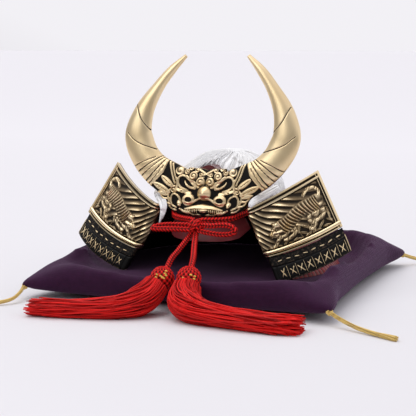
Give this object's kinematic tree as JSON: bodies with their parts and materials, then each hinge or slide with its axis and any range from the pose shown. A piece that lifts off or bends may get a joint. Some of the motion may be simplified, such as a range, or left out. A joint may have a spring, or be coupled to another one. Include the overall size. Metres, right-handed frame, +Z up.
{
  "type": "miniature kabuto helmet on a display cushion",
  "caption": "Miniature samurai helmet with a horned lion-face crest, turned-back cheek plates, white hair and a tied red cord, resting on a square cushion.",
  "frame": {"origin": "centre of the cushion's flat underside", "axes": "+Z up, -Y the helmet's front, +X the viewer's right"},
  "size_m": [0.297, 0.2629, 0.1547],
  "materials": {
    "purple_fabric": "soft matte",
    "yellow_thread": "soft silky",
    "red_lacquer": "gloss",
    "black_lacquer": "gloss",
    "antique_brass": "antique, polished high parts and black patina",
    "red_cord": "braided silky",
    "white_hair": "fine hair"
  },
  "bodies": {
    "root": {"cushion": "purple_fabric", "corner_tassel_1": "yellow_thread", "corner_tassel_2": "yellow_thread", "corner_tassel_3": "yellow_thread", "corner_tassel_4": "yellow_thread", "bowl": "red_lacquer", "visor": "red_lacquer", "crest_holder": "red_lacquer", "lame_1": "red_lacquer", "lame_2": "red_lacquer", "lame_3": "red_lacquer", "lame_4": "red_lacquer", "wing_left": "antique_brass", "wing_right": "antique_brass", "wing_band_left": "black_lacquer", "wing_band_right": "black_lacquer", "crest": "antique_brass", "hair": "white_hair", "chin_cord": "red_cord", "bow_knot": "red_cord", "bow_loop_left": "red_cord", "bow_loop_right": "red_cord", "cord_tail_left": "red_cord", "cord_tail_right": "red_cord", "tassel_head_left": "red_cord", "tassel_head_right": "red_cord", "tassel_skirt_left": "red_cord", "tassel_skirt_right": "red_cord"}
  },
  "joints": []
}
